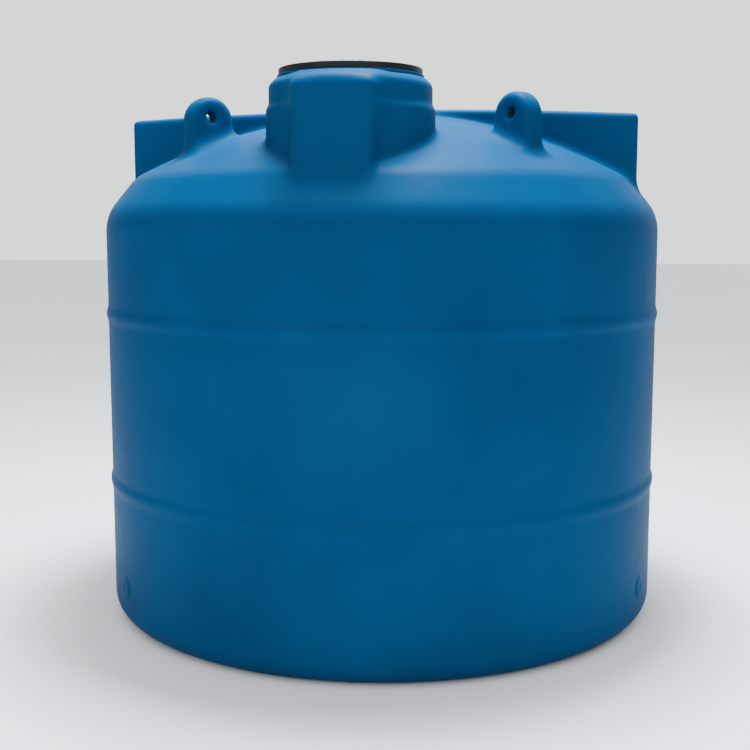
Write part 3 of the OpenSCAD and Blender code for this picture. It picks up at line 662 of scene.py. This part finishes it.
# each fitting is turned about a level line that points out of the tank
rear = (0.0, 1.0, 0.0)
pipeThread = {"depth": 0.0012, "pitch": 0.0023}
inlet = {"level": 0.985, "tube": 0.013, "bore": 0.008, "start": 0.733, "end": 0.838, "hex": 0.022,
         "hexLow": 0.7845, "hexHigh": 0.796, "gasket": 0.024, "gasketBore": 0.0133, "gasketThick": 0.0025,
         "face": 0.782}
overflow = {"level": 1.012, "azimuth": 22.0, "tube": 0.025, "bore": 0.020, "start": 0.744, "end": 0.817,
            "flange": 0.038, "flangeLow": 0.784, "flangeHigh": 0.793,
            "gasket": 0.037, "gasketBore": 0.0253, "gasketThick": 0.002, "face": 0.782,
            "elbow": 0.030, "elbowBore": 0.024, "elbowStart": 0.797, "bendAt": 0.819, "bend": 0.038,
            "leg": 0.066, "collar": 0.014, "waist": 0.0016}
outlet = {"level": 0.115, "tube": 0.030, "bore": 0.021, "start": 0.740, "end": 0.822, "flange": 0.050,
          "flangeLow": 0.785, "flangeHigh": 0.797,
          "gasket": 0.048, "gasketBore": 0.0303, "gasketThick": 0.003, "face": 0.782,
          "bodyLow": 0.800, "bodyHigh": 0.905, "body": 0.044, "stemAt": 0.862, "gland": 0.016,
          "glandTop": 0.177, "cavity": 0.0335, "hexHigh": 0.925, "socket": 0.0239}


def sealOutline(fitting):
    low = fitting["face"]
    high = low + fitting["gasketThick"]
    inner, outer = fitting["gasketBore"], fitting["gasket"]
    return [(inner, low), (outer, low), (outer, high), (inner, high)]


def makeInlet():
    place = (0, 0, inlet["level"])
    root = inlet["tube"] - pipeThread["depth"]
    teeth = threadTeeth(root, pipeThread["depth"], 0.799, 0.836, pipeThread["pitch"])
    outline = [(inlet["bore"], inlet["start"]), (inlet["tube"], inlet["start"]), (inlet["tube"], 0.797)]
    outline += teeth + [(root, inlet["end"]), (inlet["bore"], inlet["end"])]
    tube = turnedPiece("inletTube", outline, place, rear, rounding=0.0006, steps=72)
    finishPiece(tube, "brass", "tank", "inlet_bulkhead")
    low, high, hexagon = inlet["hexLow"], inlet["hexHigh"], inlet["hex"]
    outline = [(inlet["tube"] - 0.001, low), (hexagon, low), (hexagon, high - 0.0022),
               (hexagon - 0.0028, high), (inlet["tube"] - 0.001, high)]
    flange = turnedPiece("inletHexagon", outline, place, rear, 0.0006, 96, hexagon * math.cos(math.pi / 6))
    finishPiece(flange, "brass", "tank", "inlet_bulkhead")
    seal = turnedPiece("inletSeal", sealOutline(inlet), place, rear, 0.0009, 96)
    finishPiece(seal, "rubber", "tank", "inlet_outer_gasket")


# a pipe with a wall that follows a list of middles, pointing along a list of directions
def sweptPipe(name, middles, directions, outer, inner, across, steps=64):
    rings = [(m, d, o) for m, d, o in zip(middles, directions, outer)]
    rings += [(m, d, i) for m, d, i in zip(middles[::-1], directions[::-1], inner[::-1])]
    points = []
    angles = np.arange(steps) * 2 * math.pi / steps
    across = np.array(across)
    for middle, direction, radius in rings:
        upward = np.cross(direction, across)
        ring = np.outer(np.cos(angles), across) + np.outer(np.sin(angles), upward)
        points.append(np.array(middle) + radius * ring)
    count = len(rings)
    faces = []
    for i in range(count):
        j = (i + 1) % count
        for k in range(steps):
            m = (k + 1) % steps
            faces.append((i * steps + k, j * steps + k, j * steps + m, i * steps + m))
    return cleanPiece(addPiece(name, np.concatenate(points), faces))


def makeOverflow():
    angle = math.radians(overflow["azimuth"])
    out = np.array([-math.sin(angle), math.cos(angle), 0.0])
    across = np.array([math.cos(angle), math.sin(angle), 0.0])
    place = (0, 0, overflow["level"])
    outline = [(overflow["bore"], overflow["start"]), (overflow["tube"], overflow["start"]),
               (overflow["tube"], overflow["end"]), (overflow["bore"], overflow["end"])]
    tube = turnedPiece("overflowTube", outline, place, tuple(out), 0.0008, 72)
    finishPiece(tube, "grey_polypropylene", "tank", "overflow_bulkhead")
    low, high, wide = overflow["flangeLow"], overflow["flangeHigh"], overflow["flange"]
    outline = [(overflow["tube"] - 0.001, low), (wide, low), (wide, high - 0.002),
               (wide - 0.006, high), (overflow["tube"] - 0.001, high)]
    flange = turnedPiece("overflowFlange", outline, place, tuple(out), 0.0012, 96)
    finishPiece(flange, "grey_polypropylene", "tank", "overflow_bulkhead")
    seal = turnedPiece("overflowSeal", sealOutline(overflow), place, tuple(out), 0.0008, 96)
    finishPiece(seal, "rubber", "tank", "overflow_gasket")

    # the elbow is waisted between two socket collars
    up = np.array([0.0, 0.0, 1.0])
    start = overflow["elbowStart"] * out + overflow["level"] * up
    bendStart = overflow["bendAt"] * out + overflow["level"] * up
    centre = bendStart - overflow["bend"] * up
    legTop = centre + overflow["bend"] * out
    legEnd = legTop - overflow["leg"] * up
    full, slim, collar = overflow["elbow"], overflow["elbow"] - overflow["waist"], overflow["collar"]
    stations = [(start, out, full - 0.001, overflow["tube"]),
                (start + 0.001 * out, out, full, overflow["tube"]),
                (start + (collar - 0.001) * out, out, full, overflow["tube"]),
                (start + collar * out, out, slim, overflow["elbowBore"])]
    for k in range(13):
        turn = k / 12 * math.pi / 2
        stations.append((centre + overflow["bend"] * (math.sin(turn) * out + math.cos(turn) * up),
                         math.cos(turn) * out - math.sin(turn) * up, slim, overflow["elbowBore"]))
    stations += [(legEnd + (collar + 0.012) * up, -up, slim, overflow["elbowBore"]),
                 (legEnd + (collar + 0.011) * up, -up, full, overflow["elbowBore"]),
                 (legEnd + 0.001 * up, -up, full, 0.026), (legEnd, -up, full - 0.001, 0.0262)]
    elbow = sweptPipe("overflowElbow", [t[0] for t in stations], [t[1] for t in stations],
                      [t[2] for t in stations], [t[3] for t in stations], across)
    finishPiece(elbow, "grey_polypropylene", "tank", "overflow_elbow")


def makeOutlet():
    place = (0, 0, outlet["level"])
    outline = [(outlet["bore"] + 0.001, outlet["start"]), (outlet["tube"], outlet["start"]),
               (outlet["tube"], outlet["end"]), (outlet["bore"] + 0.001, outlet["end"])]
    tube = turnedPiece("outletTube", outline, place, rear, 0.0008, 72)
    finishPiece(tube, "black_polypropylene", "tank", "outlet_bulkhead")
    low, high, wide = outlet["flangeLow"], outlet["flangeHigh"], outlet["flange"]
    outline = [(outlet["tube"] - 0.001, low), (wide, low), (wide, low + 0.006), (wide - 0.004, low + 0.009),
               (outlet["tube"] + 0.008, high), (outlet["tube"] - 0.001, high)]
    flange = turnedPiece("outletFlange", outline, place, rear, 0.0015, 120)
    finishPiece(flange, "black_polypropylene", "tank", "outlet_bulkhead")
    seal = turnedPiece("outletSeal", sealOutline(outlet), place, rear, 0.001, 120)
    finishPiece(seal, "rubber", "tank", "outlet_outer_gasket")

    low, high, wide = outlet["bodyLow"], outlet["bodyHigh"], outlet["body"]
    outline = [(outlet["tube"] + 0.0003, low), (wide - 0.004, low), (wide - 0.002, low + 0.003),
               (wide - 0.002, low + 0.018), (wide - 0.006, low + 0.023), (wide - 0.006, low + 0.028),
               (wide - 0.001, low + 0.036), (wide, low + 0.062), (wide - 0.001, low + 0.088),
               (wide - 0.003, low + 0.092), (wide - 0.003, low + 0.095), (wide, low + 0.097), (wide, high),
               (outlet["cavity"], high), (outlet["cavity"], low + 0.028), (outlet["bore"], low + 0.028),
               (outlet["bore"], low + 0.0225), (outlet["tube"] + 0.0003, low + 0.0225)]
    body = turnedPiece("valveBody", outline, place, rear, 0.0016, 120)
    finishPiece(body, "black_polypropylene", "tank", "outlet_valve_body")
    base, top = outlet["level"] + 0.038, outlet["glandTop"]
    outline = [(0.008, base), (outlet["gland"], base), (outlet["gland"], top - 0.012),
               (outlet["gland"] - 0.0012, top - 0.0115), (outlet["gland"] - 0.0012, top - 0.0095),
               (outlet["gland"], top - 0.009), (outlet["gland"], top), (0.0110, top),
               (0.0110, top - 0.008), (0.008, top - 0.008)]
    gland = turnedPiece("valveGland", outline, (0, outlet["stemAt"], 0), rounding=0.0008, steps=72)
    finishPiece(gland, "black_polypropylene", "tank", "outlet_valve_body")

    low, high = outlet["bodyHigh"] + 0.0003, outlet["hexHigh"]
    teeth = threadTeeth(outlet["socket"], -pipeThread["depth"], low + 0.001, high - 0.002, pipeThread["pitch"])
    outline = [(outlet["bore"], low), (wide, low), (wide, high - 0.004), (wide - 0.0055, high),
               (outlet["socket"], high)] + teeth[::-1] + [(outlet["socket"], low + 0.0006),
                                                          (outlet["bore"], low + 0.0006)]
    end = turnedPiece("valveEnd", outline, place, rear, 0.0006, 120, wide * math.cos(math.pi / 6))
    finishPiece(end, "black_polypropylene", "tank", "outlet_valve_end")


makeInlet()
makeOverflow()
makeOutlet()
print("fittings made")

# every other CAD node keeps its mesh and gets softened edges
for nodeName, nodeObject in frame["nodes"].items():
    rounding = nodeObject.modifiers.new("softEdges", "BEVEL")
    rounding.width = 0.0006
    rounding.segments = 2
    rounding.limit_method = "ANGLE"
    rounding.angle_limit = math.radians(50)
    rounding.harden_normals = True

# a long view from a little above and to the right of the mouth
view = {"azimuth": 9.8, "distance": 3.449, "height": 1.089, "pitch": 7.28, "turn": 0.32, "lens": 57.0}


def makeCamera():
    data = bpy.data.cameras.new("camera")
    data.lens = view["lens"]
    data.sensor_width = 36.0
    camera = bpy.data.objects.new("camera", data)
    side = math.radians(view["azimuth"])
    camera.location = (view["distance"] * math.sin(side), -view["distance"] * math.cos(side), view["height"])
    camera.rotation_euler = (math.radians(90 - view["pitch"]), 0, math.radians(view["azimuth"] + view["turn"]))
    bpy.context.scene.collection.objects.link(camera)
    bpy.context.scene.camera = camera


makeCamera()

studio = {"floor": (0.86, 0.86, 0.87), "sky": (0.96, 0.98, 1.0), "skyStrength": 1.75, "sideShade": 0.12,
          "topPower": 560.0, "topSize": 1.1, "topTint": (0.78, 0.91, 1.0), "frontPower": 20.0}


def addLamp(name, place, target, width, depth, power, colour=(1, 1, 1)):
    data = bpy.data.lights.new(name, "AREA")
    data.shape = "RECTANGLE"
    data.size, data.size_y = width, depth
    data.energy = power
    data.color = colour
    lamp = bpy.data.objects.new(name, data)
    lamp.location = place
    lamp.rotation_euler = (Vector(target) - Vector(place)).to_track_quat("-Z", "Y").to_euler()
    bpy.context.scene.collection.objects.link(lamp)
    return lamp


def makeStudio():
    bpy.ops.mesh.primitive_plane_add(size=60, location=(0, 0, 0))
    floor = bpy.context.object
    floor.name = "floor"
    material, nodes, links, shader = newMaterial("floorPaper")
    place = addNode(nodes, "ShaderNodeTexCoord")
    fibre = addNode(nodes, "ShaderNodeTexNoise", Scale=60.0, Detail=4.0)
    links.new(place.outputs["Object"], fibre.inputs["Vector"])
    tone = colourRamp(nodes, [(0.3, tuple(0.985 * c for c in studio["floor"])), (0.7, studio["floor"])])
    links.new(fibre.outputs["Fac"], tone.inputs["Fac"])
    links.new(tone.outputs["Color"], shader.inputs["Base Color"])
    shader.inputs["Roughness"].default_value = 0.9
    floor.data.materials.append(material)

    world = bpy.data.worlds.new("studio")
    bpy.context.scene.world = world
    world.use_nodes = True
    backdrop = world.node_tree.nodes["Background"]
    backdrop.inputs["Strength"].default_value = studio["skyStrength"]
    # the sides of the room are dimmer than its back wall and ceiling
    nodes, links = world.node_tree.nodes, world.node_tree.links
    place = addNode(nodes, "ShaderNodeTexCoord")
    parts = addNode(nodes, "ShaderNodeSeparateXYZ")
    links.new(place.outputs["Generated"], parts.inputs["Vector"])
    sideways = addNode(nodes, "ShaderNodeMath", {"operation": "ABSOLUTE"})
    links.new(parts.outputs["X"], sideways.inputs[0])
    shade = addNode(nodes, "ShaderNodeMapRange", {"interpolation_type": "SMOOTHSTEP"})
    shade.inputs["From Min"].default_value = 0.48
    shade.inputs["From Max"].default_value = 0.90
    shade.inputs["To Min"].default_value = 1.0
    shade.inputs["To Max"].default_value = studio["sideShade"]
    links.new(sideways.outputs["Value"], shade.inputs["Value"])
    tint = addNode(nodes, "ShaderNodeMix", {"data_type": "RGBA", "blend_type": "MULTIPLY"})
    tint.inputs["Factor"].default_value = 1.0
    tint.inputs[6].default_value = (*studio["sky"], 1)
    links.new(shade.outputs["Result"], tint.inputs[7])
    links.new(tint.outputs[2], backdrop.inputs["Color"])
    size = studio["topSize"]
    addLamp("topLight", (0.1, 0.2, 4.0), (0, 0, 0), size, size, studio["topPower"], studio["topTint"])
    addLamp("frontLight", (-1.2, -5.0, 2.6), (0, 0, 0.8), 3.0, 2.0, studio["frontPower"])


makeStudio()
print("studio made")
